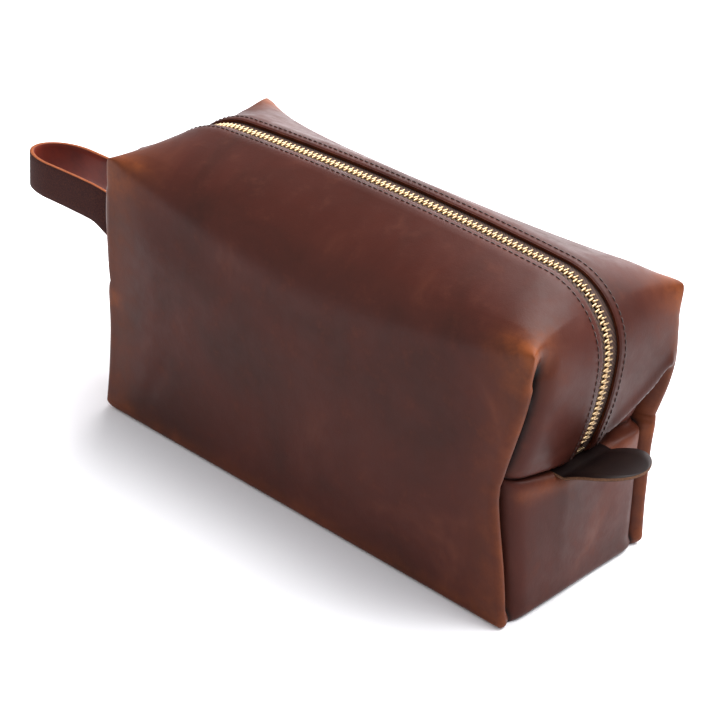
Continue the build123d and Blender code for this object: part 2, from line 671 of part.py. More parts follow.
def build():
    return {
        "leather_body": leather_body(),
        "zip_tape_front": zip_tape(-1),
        "zip_tape_back": zip_tape(1),
        "zip_teeth_front": zip_teeth(-1),
        "zip_teeth_back": zip_teeth(1),
        "zip_top_stops": zip_top_stops(),
        "zip_bottom_stop": zip_bottom_stop(),
        "slider_body": slider_body(),
        "slider_crown": slider_crown(),
        "zip_puller": zip_puller(),
        "handle_strap": handle_strap(),
        "handle_root_front": tongue(-1, HINGE_HANDLE, STRAP_THICK, STRAP_WIDTH, -ROOT_SPREAD),
        "handle_root_back": tongue(-1, HINGE_HANDLE, STRAP_THICK, STRAP_WIDTH, ROOT_SPREAD),
        "end_tab": end_tab(),
        "end_tab_root": tongue(1, HINGE_TAB, TAB_THICK, TAB_WIDTH, 0.0),
        "topstitch_front": topstitch(-1),
        "topstitch_back": topstitch(1),
        "end_seam_thread_tab": seam_thread(1, TAB_THICK),
        "end_seam_thread_handle": seam_thread(-1, STRAP_THICK),
    }


os.makedirs("parts", exist_ok=True)
for name, shape in build().items():
    export_step(shape, f"parts/{name}.step")
print(f"slider_run: pivot ({TURN.x:.3f}, {TURN.z:.3f}), rest {along(SLIDER_REST)[1]:.2f}, end {TURN.end:.2f}")
print(f"pull_swing: pivot ({pull_pin()[0]:.3f}, {pull_pin()[1]:.3f})")
print(f"handle_swing: pivot ({HINGE_HANDLE[0]:.3f}, {HINGE_HANDLE[1]:.3f})")
print(f"end_tab_swing: pivot ({HINGE_TAB[0]:.3f}, {HINGE_TAB[1]:.3f})")
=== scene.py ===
"""Looks of a boxed leather shaving kit bag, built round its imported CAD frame.

Lengths in the classes below are millimetres, as in the CAD source, and become metres in one place,
where a mesh is made. +X runs to the grab tab, -X to the strap handle, -Y is the front, +Z is up.
"""

import json
import logging
import math
from collections.abc import Iterator
from contextlib import contextmanager
from dataclasses import dataclass, field
from enum import Enum

import bmesh
import bpy
import numpy as np
from mathutils import Matrix, Vector

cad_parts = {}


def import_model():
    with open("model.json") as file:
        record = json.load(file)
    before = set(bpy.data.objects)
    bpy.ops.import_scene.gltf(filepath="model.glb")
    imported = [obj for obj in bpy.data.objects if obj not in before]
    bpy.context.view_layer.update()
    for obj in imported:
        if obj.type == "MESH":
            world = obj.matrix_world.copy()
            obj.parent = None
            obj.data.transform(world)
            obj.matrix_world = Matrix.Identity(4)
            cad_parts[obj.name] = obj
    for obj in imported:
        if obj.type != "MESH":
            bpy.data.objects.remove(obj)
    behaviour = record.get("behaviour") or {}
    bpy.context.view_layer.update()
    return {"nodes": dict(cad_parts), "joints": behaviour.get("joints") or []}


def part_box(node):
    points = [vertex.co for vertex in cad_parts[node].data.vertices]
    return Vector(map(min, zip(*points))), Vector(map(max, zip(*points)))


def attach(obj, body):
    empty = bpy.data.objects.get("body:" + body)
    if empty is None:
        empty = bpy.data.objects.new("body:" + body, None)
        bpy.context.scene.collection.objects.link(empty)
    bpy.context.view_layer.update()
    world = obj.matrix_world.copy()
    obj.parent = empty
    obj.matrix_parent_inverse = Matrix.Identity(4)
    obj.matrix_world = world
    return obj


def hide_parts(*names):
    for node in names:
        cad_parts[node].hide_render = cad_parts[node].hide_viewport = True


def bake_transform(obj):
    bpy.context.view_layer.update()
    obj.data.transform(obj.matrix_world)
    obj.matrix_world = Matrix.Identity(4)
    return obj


MM = 0.001
WELD = 1e-6
LOG = logging.getLogger("kit_bag")


class End(Enum):
    """The two ends of the bag, by the sign of their x."""

    TAB = 1
    HANDLE = -1


class Side(Enum):
    """The two long sides of the bag, by the sign of their y."""

    FRONT = -1
    BACK = 1


# --- small tools ------------------------------------------------------------------------------


def mix(a: np.ndarray, b: np.ndarray, share: np.ndarray) -> np.ndarray:
    """Straight mix of a and b: a at share 0, b at share 1."""
    return a + (b - a) * share


def step(low: float, high: float, value: np.ndarray) -> np.ndarray:
    """Smooth step: 0 below low, 1 above high, 3t^2 - 2t^3 between."""
    t = np.clip((value - low) / (high - low), 0.0, 1.0)
    return t * t * (3 - 2 * t)


def bell(distance: np.ndarray, width: float) -> np.ndarray:
    """Gaussian bell, 1 at distance 0."""
    return np.exp(-((distance / width) ** 2))


def linear(hex_colour: str) -> tuple[float, float, float, float]:
    """An sRGB hex colour as linear RGBA.

    Args:
        hex_colour: Six hex digits, with or without a leading "#".

    Returns:
        Linear red, green and blue, and alpha 1.
    """
    digits = hex_colour.lstrip("#")
    channels = [int(digits[i:i + 2], 16) / 255 for i in (0, 2, 4)]
    values = [c / 12.92 if c <= 0.04045 else ((c + 0.055) / 1.055) ** 2.4 for c in channels]
    return (*values, 1.0)


def grid_faces(rows: int, columns: int, flip: bool = False) -> np.ndarray:
    """Quads of a grid whose points are stored row by row.

    Args:
        rows: Number of rows of points.
        columns: Points in a row.
        flip: Turns every quad round, so that it faces the other way.

    Returns:
        Array of quads, shape ((rows - 1) * (columns - 1), 4).
    """
    i, j = np.meshgrid(np.arange(rows - 1), np.arange(columns - 1), indexing="ij")
    first = (i * columns + j).ravel()
    quads = np.stack([first, first + columns, first + columns + 1, first + 1], axis=1)
    return quads[:, ::-1] if flip else quads


@dataclass
class Skin:
    """Points, faces and per-point values that become one mesh object."""

    points: list[np.ndarray] = field(default_factory=list)
    faces: list[np.ndarray] = field(default_factory=list)
    values: dict[str, list[np.ndarray]] = field(default_factory=dict)
    count: int = 0

    def add(self, points: np.ndarray, faces: np.ndarray, **values: np.ndarray) -> None:
        """Adds one patch.

        Args:
            points: Array (n, 3), millimetres.
            faces: Array of corner numbers within this patch.
            values: Arrays of n numbers, one for each named point attribute.
        """
        self.points.append(points)
        self.faces.append(faces + self.count)
        for name, numbers in values.items():
            self.values.setdefault(name, []).append(numbers.ravel())
        self.count += len(points)

    def build(self, name: str, material: bpy.types.Material, closed: bool = False) -> bpy.types.Object:
        """Makes the object, with its place in its mesh and smooth faces.

        Args:
            name: Name of the object and its mesh.
            material: Finish of the whole piece.
            closed: The patches are closed shapes, so all their faces are turned outwards.

        Returns:
            The new object.
        """
        mesh = bpy.data.meshes.new(name)
        points = np.concatenate(self.points) * MM
        quads = [face for patch in self.faces for face in patch.tolist()]
        mesh.from_pydata(points.tolist(), [], quads)
        for key, numbers in self.values.items():
            layer = mesh.attributes.new(key, "FLOAT", "POINT")
            layer.data.foreach_set("value", np.concatenate(numbers).astype(np.float32))
        with edited(mesh) as work:
            weld_points(work)
            if closed:
                bmesh.ops.recalc_face_normals(work, faces=work.faces)
        mesh.polygons.foreach_set("use_smooth", np.ones(len(mesh.polygons), bool))
        mesh.materials.append(material)
        piece = bpy.data.objects.new(name, mesh)
        bpy.context.scene.collection.objects.link(piece)
        LOG.info("%s: %d faces", name, len(mesh.polygons))
        return piece


@contextmanager
def edited(mesh: bpy.types.Mesh) -> Iterator[bmesh.types.BMesh]:
    """Opens a mesh for editing and writes it back afterwards."""
    work = bmesh.new()
    work.from_mesh(mesh)
    yield work
    work.to_mesh(mesh)
    work.free()


def weld_points(work: bmesh.types.BMesh) -> None:
    """Merges points that lie within a micrometre of each other."""
    bmesh.ops.remove_doubles(work, verts=work.verts, dist=WELD)


def relax(work: bmesh.types.BMesh, points: list[bmesh.types.BMVert], rounds: int) -> None:
    """Moves points half way to their neighbours' mean, round after round."""
    for _ in range(rounds):
        bmesh.ops.smooth_vert(work, verts=points, factor=0.5, use_axis_x=True, use_axis_y=True, use_axis_z=True)


def repeated_tubes(count: int, rings: int, points: int) -> np.ndarray:
    """Quads of many separate tubes, stored one after the other, each as rings of points."""
    one = grid_faces(rings, points)
    return (np.arange(count)[:, None, None] * rings * points + one[None]).reshape(-1, 4)


# --- the zip's path ------------------------------------------------------------------------------


@dataclass(frozen=True)
class Arc:
    """An arc in the XZ plane, from start to end; angles in degrees, falling."""

    x: float
    z: float
    radius: float
    start: float
    end: float

    @property
    def length(self) -> float:
        """Length of the arc."""
        return self.radius * math.radians(self.start - self.end)

    def point(self, angle: np.ndarray, lift: float = 0.0) -> tuple[np.ndarray, np.ndarray]:
        """Centre plus radius times cosine and sine of the angle."""
        reach = self.radius + lift
        return self.x + reach * np.cos(np.radians(angle)), self.z + reach * np.sin(np.radians(angle))

    def between(self, start: float, end: float, count: int) -> tuple[np.ndarray, np.ndarray]:
        """Evenly spaced points from one angle to another."""
        return self.point(np.linspace(start, end, count))


@dataclass
class ZipPath:
    """Four tangent arcs: turn at the handle end, top, corner, face of the tab end."""

    half_length: float
    crown: float
    turn_x: float
    seam_tab: float = 63.0
    seam_handle: float = 66.0
    tab_bulge: float = 2.0
    tab_radius: float = 144.0
    corner_radius: float = 35.0
    corner_fall: float = 38.1
    turn_radius: float = 47.0
    turn_mid: float = 135.0
    corner_mid: float = 45.0

    def __post_init__(self) -> None:
        """Works out the arcs from the sizes."""
        corner_x = self.half_length + self.tab_bulge - self.corner_radius
        corner_z = self.crown - self.corner_fall
        drop = self.corner_fall - self.corner_radius
        radius = self.corner_radius + (corner_x ** 2 + drop ** 2) / (2 * drop)
        crown_z = self.crown - radius
        turn_z = crown_z + math.sqrt((radius - self.turn_radius) ** 2 - self.turn_x ** 2)
        turn_end = math.degrees(math.atan2(turn_z - crown_z, self.turn_x))
        corner_start = math.degrees(math.atan2(corner_z - crown_z, corner_x))
        turn_start = 180 + math.degrees(math.asin((turn_z - self.seam_handle) / self.turn_radius))
        face_end = -math.degrees(math.asin((corner_z - self.seam_tab) / self.tab_radius))
        face_x = self.half_length + self.tab_bulge - self.tab_radius
        self.turn = Arc(self.turn_x, turn_z, self.turn_radius, turn_start, turn_end)
        self.top = Arc(0.0, crown_z, radius, turn_end, corner_start)
        self.corner = Arc(corner_x, corner_z, self.corner_radius, corner_start, 0.0)
        self.face = Arc(face_x, corner_z, self.tab_radius, 0.0, face_end)
        self.arcs = (self.turn, self.top, self.corner, self.face)
        self.length = sum(arc.length for arc in self.arcs)

    def seam(self, end: End) -> tuple[float, float]:
        """(x, z) of an end seam in the middle plane."""
        arc, angle = (self.face, self.face.end) if end is End.TAB else (self.turn, self.turn.start)
        x, z = arc.point(angle)
        return float(x), float(z)

    def frames(self, distance: np.ndarray, lift: float) -> tuple[np.ndarray, np.ndarray, np.ndarray]:
        """Points along the path with the directions there.

        Args:
            distance: Distances from the handle end's seam, shape (n,).
            lift: Height of the points above the leather's outer face.

        Returns:
            Points (n, 3), unit vectors onward (n, 3) and unit vectors outward (n, 3).
        """
        ends = np.cumsum([arc.length for arc in self.arcs])
        which = np.clip(np.searchsorted(ends, distance), 0, len(self.arcs) - 1)
        data = np.array([[arc.x, arc.z, arc.radius, arc.start] for arc in self.arcs])[which]
        before = np.concatenate([[0.0], ends])[which]
        angle = np.radians(data[:, 3]) - (distance - before) / data[:, 2]
        zero = np.zeros_like(angle)
        outward = np.stack([np.cos(angle), zero, np.sin(angle)], axis=1)
        onward = np.stack([np.sin(angle), zero, -np.cos(angle)], axis=1)
        centre = np.stack([data[:, 0], zero, data[:, 1]], axis=1)
        return centre + outward * (data[:, 2:3] + lift), onward, outward


# --- finishes ---------------------------------------------------------------------------------------


def add(tree: bpy.types.NodeTree, kind: str, inputs: dict | None = None, **settings) -> bpy.types.Node:
    """Adds a node with its settings, values and links.

    Args:
        tree: Node tree to add to.
        kind: The node's type name.
        inputs: Socket name or number to a value, or to a socket to link from.
        settings: Attributes of the node itself.

    Returns:
        The new node.
    """
    node = tree.nodes.new(kind)
    for name, value in settings.items():
        setattr(node, name, value)
    for key, value in (inputs or {}).items():
        if isinstance(value, bpy.types.NodeSocket):
            tree.links.new(value, node.inputs[key])
        else:
            node.inputs[key].default_value = value
    return node


def new_material(name: str) -> tuple[bpy.types.Material, bpy.types.NodeTree, bpy.types.Node]:
    """A material with one Principled shader, its tree and that shader."""
    material = bpy.data.materials.new(name)
    material.use_nodes = True
    tree = material.node_tree
    return material, tree, tree.nodes["Principled BSDF"]


def mixed(tree: bpy.types.NodeTree, share: object, a: object, b: object) -> bpy.types.NodeSocket:
    """Colour output of a Mix node between a and b."""
    return add(tree, "ShaderNodeMix", {0: share, 6: a, 7: b}, data_type="RGBA").outputs[2]


def noise(tree: bpy.types.NodeTree, size: float, **inputs: float) -> bpy.types.NodeSocket:
    """Noise in the object's own space with features about size millimetres wide."""
    place = add(tree, "ShaderNodeTexCoord").outputs["Object"]
    return add(tree, "ShaderNodeTexNoise", {"Vector": place, "Scale": 1 / (size * MM), **inputs}).outputs["Fac"]


def surface(tree: bpy.types.NodeTree, shader: bpy.types.Node, colour: bpy.types.NodeSocket,
            height: bpy.types.NodeSocket, strength: float, depth: float) -> None:
    """Links a colour and one bump, whose depth is in millimetres, to the shader."""
    bump = add(tree, "ShaderNodeBump", {"Height": height, "Strength": strength, "Distance": depth * MM})
    tree.links.new(colour, shader.inputs["Base Color"])
    tree.links.new(bump.outputs[0], shader.inputs["Normal"])


def ramp(tree: bpy.types.NodeTree, value: object, low: float, high: float,
         start: float = 0.0, end: float = 1.0) -> bpy.types.NodeSocket:
    """Smooth Map Range output: start at low, end at high."""
    node = add(tree, "ShaderNodeMapRange", {0: value, 1: low, 2: high, 3: start, 4: end},
               interpolation_type="SMOOTHSTEP")
    return node.outputs[0]


@dataclass(frozen=True)
class PullUpLeather:
    """Oiled pull-up leather: waxes move under the surface, so bends and edges turn lighter.

    Full-grain hide, drum dyed, finished with oil and wax: a satin sheen over cloudy brown, with fine
    pores about 0.5 mm apart that soften the gloss, and faint scuffs.
    """

    name: str = "oiled_pull_up_leather"
    dark: str = "#2b130d"
    base: str = "#421c14"
    pale: str = "#643626"
    worn: str = "#7a3f1e"
    # near-black colour of the painted shade in the seam valleys and the end seams' notches
    crease: str = "#0d0605"
    roughness: float = 0.44
    cloud_mm: float = 60.0
    speck_mm: float = 9.0
    pore_mm: float = 0.7

    def make(self) -> bpy.types.Material:
        """Clouds of three browns, worn colour by attribute, painted seam shade by attribute, pores and scuffs
        in the bump.
        """
        material, tree, shader = new_material(self.name)
        place = add(tree, "ShaderNodeTexCoord").outputs["Object"]
        wear = add(tree, "ShaderNodeAttribute", attribute_name="wear").outputs["Fac"]
        clouds = noise(tree, self.cloud_mm, Detail=4.0, Roughness=0.6, Distortion=0.6)
        specks = noise(tree, self.speck_mm, Detail=5.0, Roughness=0.65)
        pores = add(tree, "ShaderNodeTexVoronoi", {
            "Vector": place, "Scale": 1 / (self.pore_mm * MM),
        }).outputs["Distance"]
        colour = mixed(tree, ramp(tree, clouds, 0.25, 0.62, 0.3, 1.0), linear(self.dark), linear(self.base))
        colour = mixed(tree, ramp(tree, clouds, 0.56, 0.82, 0.0, 0.6), colour, linear(self.pale))
        colour = mixed(tree, ramp(tree, specks, 0.52, 0.80, 0.0, 0.22), colour, linear(self.pale))
        ragged = add(tree, "ShaderNodeMath", {0: wear, 1: ramp(tree, specks, 0.3, 0.7, 0.55, 1.25)},
                     operation="MULTIPLY").outputs[0]
        colour = mixed(tree, ragged, colour, linear(self.worn))
        # painted shade: darkens the colour in the corner valleys and end-seam notches, where shade falls
        deep = add(tree, "ShaderNodeAttribute", attribute_name="crease").outputs["Fac"]
        colour = mixed(tree, deep, colour, linear(self.crease))
        tree.links.new(colour, shader.inputs["Base Color"])
        rough = ramp(tree, specks, 0.3, 0.75, self.roughness - 0.06, self.roughness + 0.1)
        tree.links.new(rough, shader.inputs["Roughness"])
        shader.inputs["Specular IOR Level"].default_value = 0.13
        fine = add(tree, "ShaderNodeBump", {"Height": pores, "Strength": 0.10, "Distance": 0.15 * MM})
        broad = add(tree, "ShaderNodeBump", {
            "Height": specks, "Strength": 0.35, "Distance": 0.35 * MM, "Normal": fine.outputs[0],
        })
        tree.links.new(broad.outputs[0], shader.inputs["Normal"])
        return material


@dataclass(frozen=True)
class StrapLeather:
    """Strip cut from the same hide: dark grain face, red-brown flesh face, raw tan edge."""

    name: str
    grain: str
    flesh: str
    edge: str
    roughness: float = 0.5
    fibre_mm: float = 0.6
    cloud_mm: float = 16.0

    def make(self) -> bpy.types.Material:
        """Grain, edge and flesh colours by the "layer" attribute: 0 grain, 1 edge, 2 flesh."""
        material, tree, shader = new_material(self.name)
        layer = add(tree, "ShaderNodeAttribute", attribute_name="layer").outputs["Fac"]
        fibres = noise(tree, self.fibre_mm, Detail=3.0)
        clouds = noise(tree, self.cloud_mm, Detail=4.0, Roughness=0.6)
        grain = mixed(tree, ramp(tree, clouds, 0.35, 0.75, 0.0, 0.5), linear(self.grain), linear(self.flesh))
        edge = mixed(tree, ramp(tree, fibres, 0.3, 0.7, 0.0, 0.5), linear(self.edge), linear(self.flesh))
        flesh = mixed(tree, ramp(tree, fibres, 0.35, 0.75, 0.0, 0.12), linear(self.flesh), linear(self.edge))
        colour = mixed(tree, ramp(tree, layer, 0.35, 0.75), grain, edge)
        colour = mixed(tree, ramp(tree, layer, 1.25, 1.65), colour, flesh)
        tree.links.new(ramp(tree, layer, 0.3, 1.0, self.roughness, 0.85), shader.inputs["Roughness"])
        shader.inputs["Specular IOR Level"].default_value = 0.16
        surface(tree, shader, colour, fibres, 0.3, 0.2)
        return material


@dataclass(frozen=True)
class PolishedBrass:
    """Drawn and tumbled brass: bright warm yellow with fine tumbling marks."""

    name: str = "tumbled_brass"
    colour: str = "#b59a76"
    tarnish: str = "#54402a"
    roughness: float = 0.3
    mark_mm: float = 0.8

    def make(self) -> bpy.types.Material:
        """Brass with tarnish in cloudy patches and slightly uneven gloss."""
        material, tree, shader = new_material(self.name)
        marks = noise(tree, self.mark_mm, Detail=3.0)
        colour = mixed(tree, ramp(tree, marks, 0.55, 0.85, 0.0, 0.6), linear(self.colour), linear(self.tarnish))
        shader.inputs["Metallic"].default_value = 1.0
        tree.links.new(ramp(tree, marks, 0.3, 0.8, self.roughness, self.roughness + 0.2),
                       shader.inputs["Roughness"])
        surface(tree, shader, colour, marks, 0.08, 0.05)
        return material


@dataclass(frozen=True)
class WovenTape:
    """Twill-woven polyester tape: dark, matt, with diagonal ribs drawn 0.8 mm apart to show."""

    name: str = "twill_zip_tape"
    colour: str = "#2a1913"
    thread: str = "#4a3024"
    rib_mm: float = 0.8

    def make(self) -> bpy.types.Material:
        """Diagonal ribs from a wave on the object's own axes, in colour and bump."""
        material, tree, shader = new_material(self.name)
        place = add(tree, "ShaderNodeTexCoord").outputs["Object"]
        ribs = add(tree, "ShaderNodeTexWave", {
            "Vector": place, "Scale": 1 / (20 * self.rib_mm * MM) * math.tau, "Distortion": 0.6,
        }, bands_direction="DIAGONAL").outputs["Fac"]
        colour = mixed(tree, ribs, linear(self.colour), linear(self.thread))
        shader.inputs["Roughness"].default_value = 0.8
        surface(tree, shader, colour, ribs, 0.5, 0.15)
        return material


@dataclass(frozen=True)
class WaxedThread:
    """Bonded and waxed sewing thread: nearly black brown, with a dull waxy sheen."""

    name: str = "waxed_thread"
    colour: str = "#1d0e0a"
    fluff: str = "#3c2118"
    twist_mm: float = 0.5

    def make(self) -> bpy.types.Material:
        """Dark thread with slight twist marks."""
        material, tree, shader = new_material(self.name)
        twist = noise(tree, self.twist_mm)
        shader.inputs["Roughness"].default_value = 0.6
        surface(tree, shader, mixed(tree, twist, linear(self.colour), linear(self.fluff)), twist, 0.4, 0.1)
        return material


# --- the leather body -----------------------------------------------------------------------------------


@dataclass
class LeatherBody:
    """The folded and sewn leather box, as one skin.

    A grid runs round the outline in the XZ plane (one way) and across the bag in Y (the other way).
    Between the flat zip band and each long side panel every point is a mix of its place on the band
    and its place on the side panel's rim. Two more grids close the long sides. The names below that
    start alike belong together: gable, valley (the creased corner seams), lip (the end seams' lower
    edge), fold (the tab end's tucked back part), ear, brow and lift (the softened top corners).
    """

    path: ZipPath
    material: bpy.types.Material
    half_length: float
    half_width: float
    ear: float = 135.5
    shoulder: float = 112.0
    shoulder_rise: float = 1.5
    band: float = 12.5
    foot: float = 3.8
    gable_share: float = 0.5
    gable_power: float = 3.2
    valley_inset: float = 7.6
    valley_depth: float = 8.0
    valley_width: float = 2.0
    rim_round: float = 4.6
    seam_rise: float = 4.7
    pinch_reach: float = 40.0
    lip_reach: float = 4.2
    lip_drop: float = 7.0
    tuck: float = 3.2
    slot: float = 6.0
    fold_z: float = 70.5
    fold_y: float = 14.0
    fold_slope: float = 0.78
    fold_depth: float = 4.0
    fold_puff: float = 1.6
    fold_room: float = 30.0
    ear_reach: float = 18.0
    ear_rounds: int = 18
    brow_reach: float = 9.0
    brow_foot: float = 104.0
    brow_end: float = 119.0
    brow_rounds: int = 40
    lift: float = 5.0
    lift_reach: float = 19.0
    pinches: dict = field(default_factory=lambda: {
        (End.TAB, Side.FRONT): 12.0, (End.TAB, Side.BACK): 3.0,
        (End.HANDLE, Side.FRONT): 3.0, (End.HANDLE, Side.BACK): 8.0,
    })
    along_bottom: int = 140
    along_foot: int = 8
    along_lower: int = 34
    along_lip: int = 12
    along_upper: int = 60

    def share(self, y: np.ndarray) -> np.ndarray:
        """0 on the band, 1 on the rim: a straight slope plus one minus a root, a rounded shoulder."""
        reach = np.clip((np.abs(y) - self.band) / (self.half_width - self.band), 0.0, 1.0)
        rounding = 1 - np.sqrt(np.maximum(0.0, 1 - reach ** self.gable_power))
        return self.gable_share * reach + (1 - self.gable_share) * rounding

    def valley(self, y: np.ndarray, height: np.ndarray) -> np.ndarray:
        """Depth of the creased corner seam: a narrow cusp in a shallow bell, fading at foot and ear."""
        across = np.abs(self.half_width - self.valley_inset - np.abs(y))
        cusp = np.exp(-((across / self.valley_width) ** 1.2))
        top = np.where(y < 0, self.ear - 1, 100.0)
        fade = np.clip(height / 9, 0, 1) * step(0.0, 12.0, top - height)
        return self.valley_depth * (0.75 * cusp + 0.25 * bell(across, 4.5)) * fade

    def pinch(self, end: End, y: np.ndarray, height: np.ndarray) -> np.ndarray:
        """How far the rim is drawn in beside its end seam: a bell in height."""
        seam = self.path.seam(end)[1]
        deepest = np.where(y < 0, self.pinches[end, Side.FRONT], self.pinches[end, Side.BACK])
        drawn = deepest * bell(height - seam - self.seam_rise, self.pinch_reach)
        if end is End.HANDLE:
            fuller = (2.6 + 2.6 * bell(height - 108, 24) + 3.4 * bell(height - 72, 22)) * (y < 0)
        else:
            fuller = (1.5 + 5.5 * bell(height - 92, 24)) * (y > 0)
        return drawn - fuller

    def seam_depth(self, end: End, y: np.ndarray) -> np.ndarray:
        """How deep the end seam's notch is: it fades towards every rim but the creased one."""
        across = np.abs(y)
        creased = mix(1.0, 0.1, step(42.0, 49.0, across))
        plain = mix(1.0, 0.08, step(24.0, 46.0, across))
        return np.where((y < 0) & (end is End.TAB), creased, plain)

    def upper(self, end: End, y: np.ndarray) -> tuple[np.ndarray, np.ndarray]:
        """End seam to the middle of the corner above it, as |x| and z grids."""
        count = self.along_upper + 1
        path = self.path
        if end is End.TAB:
            share_face = path.face.length / (path.face.length + path.corner.length / 2)
            split = round(count * share_face)
            low_x, low_z = path.face.between(path.face.end, 0.0, split + 1)
            top_x, top_z = path.corner.between(0.0, path.corner_mid, count - split)
            x, z = np.concatenate([low_x[:-1], top_x]), np.concatenate([low_z[:-1], top_z])
        else:
            x, z = path.turn.between(path.turn.start, path.turn_mid, count)
            x = -x
        x, z = x[:, None], z[:, None]
        share = self.share(y)
        up = (z - z[0]) / (z[-1] - z[0])
        rim_z = mix(z[0] + self.seam_rise, self.ear, up)
        lip = self.lip_reach / 2 * (1 - up) ** 6 * self.seam_depth(end, y)
        rim_x = self.half_length - self.pinch(end, y, rim_z) - lip
        rise = self.seam_rise * (y / self.half_width) ** 2
        level = mix(z + rise * (1 - up), rim_z, share)
        return mix(x, rim_x, share) - self.valley(y, level), level

    def lower(self, end: End, y: np.ndarray, seam_x: np.ndarray,
              seam_z: np.ndarray) -> list[tuple[np.ndarray, np.ndarray]]:
        """Foot, lower panel and its rolled lip below the end seam, as |x| and z grids, going up."""
        share = self.share(y)
        t = np.linspace(0, 1, self.along_lower + 1)[:, None]
        reach = mix(self.lip_reach, self.lip_reach / 2, share) * self.seam_depth(end, y)
        turn = seam_z - self.lip_drop
        level = mix(self.foot, turn, t)
        flat = mix(self.half_length, seam_x + self.valley(y, level) + reach, t)
        rim = self.half_length - self.pinch(end, y, level)
        x = mix(flat, rim, share) - self.valley(y, level)
        a = np.linspace(0, math.pi / 2, self.along_lip + 1)[:, None]
        deep = seam_x - self.tuck * self.seam_depth(end, y)
        lip_x = deep + (x[-1:] - deep) * np.maximum(np.cos(a), 0) ** 0.7
        lip_z = turn + self.lip_drop * np.sin(a)
        b = np.linspace(math.pi / 2, 0, self.along_foot + 1)[:, None]
        inner = self.half_length - self.foot
        foot_x = inner + (x[:1] - inner) * np.cos(b)
        foot_z = self.foot * (1 - np.sin(b)) + 0 * y
        return [(foot_x, foot_z), (x, level + 0 * y), (lip_x, lip_z)]

    def tucked(self, end: End, x: np.ndarray, y: np.ndarray, z: np.ndarray) -> np.ndarray:
        """The upper panel's x, drawn in behind the lower lip near the seam."""
        return x - self.tuck * self.seam_depth(end, y) * np.exp(-((z - z[:1]) / 1.6))

    def top(self, y: np.ndarray) -> tuple[np.ndarray, np.ndarray]:
        """Corner to corner over the top, tab end first, as x and z grids."""
        path = self.path
        side = 24
        right = path.corner.between(path.corner_mid, path.corner.start, side + 1)
        left = path.turn.between(path.turn.end, path.turn_mid, side + 1)
        middle = path.top.between(path.top.end, path.top.start, self.along_bottom - 2 * side + 1)
        x = np.concatenate([right[0][:-1], middle[0], left[0][1:]])[:, None]
        z = np.concatenate([right[1][:-1], middle[1], left[1][1:]])[:, None]
        out = np.abs(x) / np.where(x > 0, x[0], -x[-1])
        rim_x = self.half_length * out * np.sign(x)
        rim_z = mix(self.shoulder, self.ear, out ** self.shoulder_rise)
        share = self.share(y)
        return mix(x, rim_x, share), mix(z, rim_z, share)

    def rows(self) -> np.ndarray:
        """Places of the grid's rows across the bag: dense at the slot's edge, valleys and rims."""
        near = [0.0, 3.0, 6.0, 6.25, 6.7, 7.4, 8.6, 10.3, 12.5]
        middle = np.linspace(15.0, 40.0, 12)
        valley = self.half_width - self.valley_inset + np.array([-2.6, -1.8, -1.1, -0.5, 0, 0.5, 1.1, 1.8])
        rim = self.half_width - self.rim_round * (1 - np.sin(np.radians([8, 18, 28, 38, 49, 60, 71, 81, 90])))
        half = np.concatenate([near, middle, valley, rim])
        return np.concatenate([-half[:0:-1], half])

    def outline(self, y: np.ndarray) -> tuple[np.ndarray, np.ndarray, list[int]]:
        """Round the whole outline, anticlockwise from the handle end's foot.

        Args:
            y: Places across the bag, shape (1, n).

        Returns:
            x and z grids whose last row repeats the first, and the row where each run starts.
        """
        runs: list[tuple[np.ndarray, np.ndarray]] = []
        inner = self.half_length - self.foot
        flat = np.linspace(-inner, inner, self.along_bottom + 1)[:, None] + 0 * y
        runs.append((flat, 0 * flat))
        tab_x, tab_z = self.upper(End.TAB, y)
        runs += self.lower(End.TAB, y, tab_x[:1], tab_z[:1])
        runs.append((self.tucked(End.TAB, tab_x, y, tab_z), tab_z))
        runs.append(self.top(y))
        handle_x, handle_z = self.upper(End.HANDLE, y)
        left = self.lower(End.HANDLE, y, handle_x[:1], handle_z[:1])
        left.append((self.tucked(End.HANDLE, handle_x, y, handle_z), handle_z))
        runs += [(-x[::-1], z[::-1]) for x, z in left[::-1]]
        starts, total = [], 0
        for x, _ in runs:
            starts.append(total)
            total += len(x) - 1
        x = np.concatenate([run[0][:-1] for run in runs] + [runs[0][0][:1]])
        z = np.concatenate([run[1][:-1] for run in runs] + [runs[0][1][:1]])
        return x, z, starts

    def rim_radius(self, z: np.ndarray, starts: list[int]) -> np.ndarray:
        """Rounding of the edge to the side panels: full at the foot and ends, none on the top."""
        radius = mix(3.2, self.rim_round, step(2.0, 24.0, z[:, 0]))
        top, left = starts[5], starts[6]
        radius[top:left] = 0.0
        fade = step(0.0, 22.0, self.ear - z[:, 0])
        radius[:top] *= fade[:top]
        radius[left:] *= fade[left:]
        return radius

